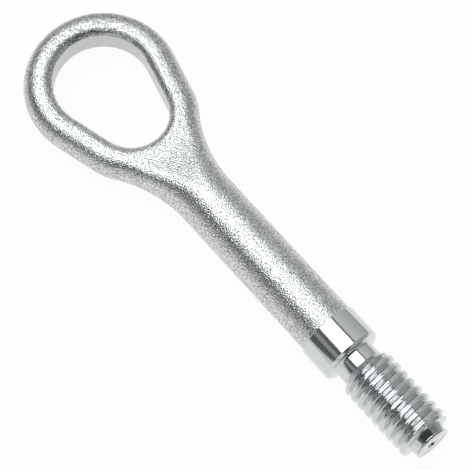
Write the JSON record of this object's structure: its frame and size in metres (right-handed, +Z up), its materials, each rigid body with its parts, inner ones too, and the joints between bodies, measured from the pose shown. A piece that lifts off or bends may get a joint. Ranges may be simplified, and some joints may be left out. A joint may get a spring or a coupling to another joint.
{
  "type": "tow eye",
  "caption": "Screw-in steel tow eye: a forged pear-shaped ring on a round shank, ending in a turned collar, a neck and a coarse rolled round thread with a short waisted tip.",
  "frame": {"origin": "on the axis of the shank, in the shoulder where the collar ends and the neck begins", "axes": "+X along the shank towards the thread's tip, +Y across the flat of the eye, +Z up, square to the flat of the eye"},
  "size_m": [0.1809, 0.05, 0.0202],
  "materials": {
    "plated_steel": "bright plate, shot-blasted on the forged eye and shank, smooth on the turned collar, neck and thread"
  },
  "bodies": {
    "root": {"tow_eye": "plated_steel"}
  },
  "joints": []
}
